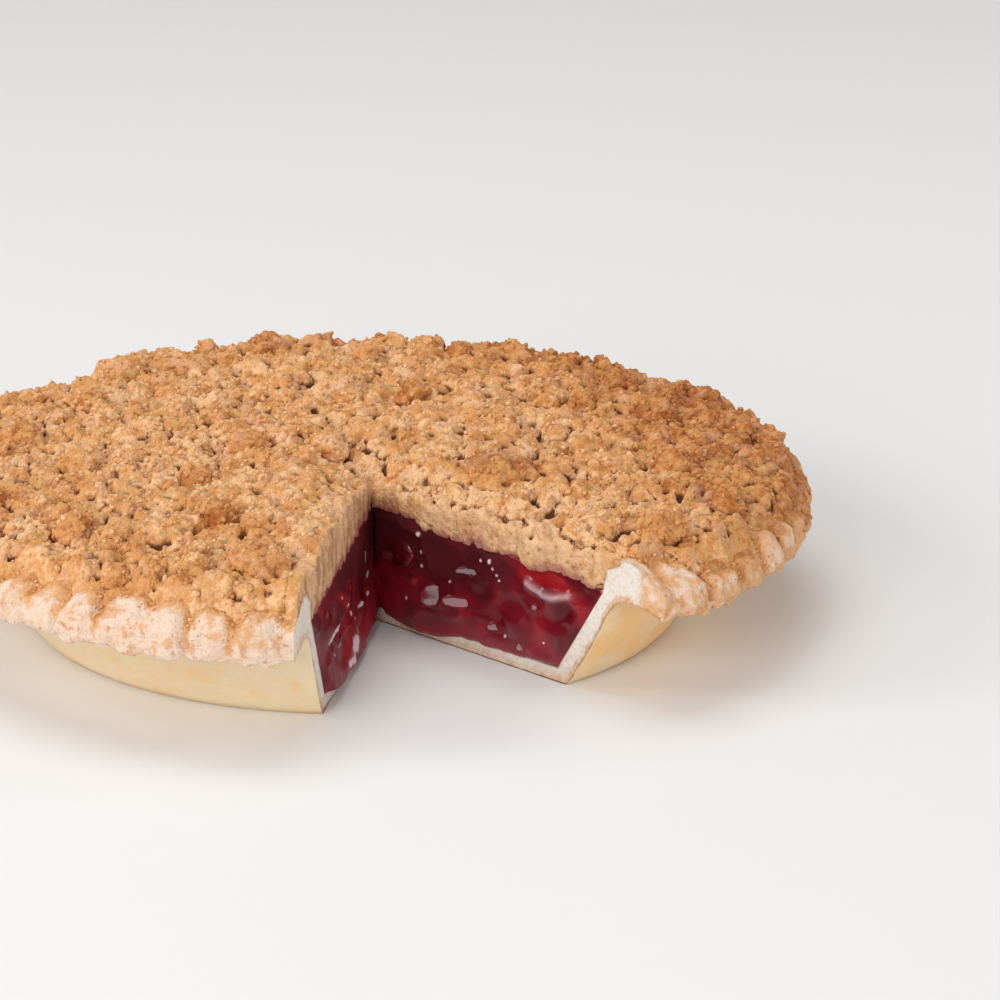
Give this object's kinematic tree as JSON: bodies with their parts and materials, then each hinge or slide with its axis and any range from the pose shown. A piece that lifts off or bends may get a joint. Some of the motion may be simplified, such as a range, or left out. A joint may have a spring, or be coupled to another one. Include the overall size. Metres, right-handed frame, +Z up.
{
  "type": "cherry pie",
  "caption": "Round cherry pie with a crimped pastry case, a set red fruit filling and a crumb topping, with one slice cut out so that the layers show.",
  "frame": {"origin": "centre of the round, flat underside of the pastry case", "axes": "+Z up through the crumb topping, -Y towards the side that the missing slice opens to, +X to the right seen from there"},
  "size_m": [0.2379, 0.2356, 0.0472],
  "materials": {
    "pastry": "matte baked pastry, toasted on the crimped rim",
    "filling": "glossy translucent set fruit gel",
    "cherry": "glossy cooked fruit",
    "crumb": "matte golden brown baked crumb"
  },
  "bodies": {
    "root": {"crust": "pastry", "filling": "filling", "cherry_left_1": "cherry", "cherry_left_2": "cherry", "cherry_left_3": "cherry", "cherry_left_4": "cherry", "cherry_right_1": "cherry", "cherry_right_2": "cherry", "cherry_right_3": "cherry", "cherry_right_4": "cherry", "cherry_right_5": "cherry", "crumb_topping": "crumb"}
  },
  "joints": []
}
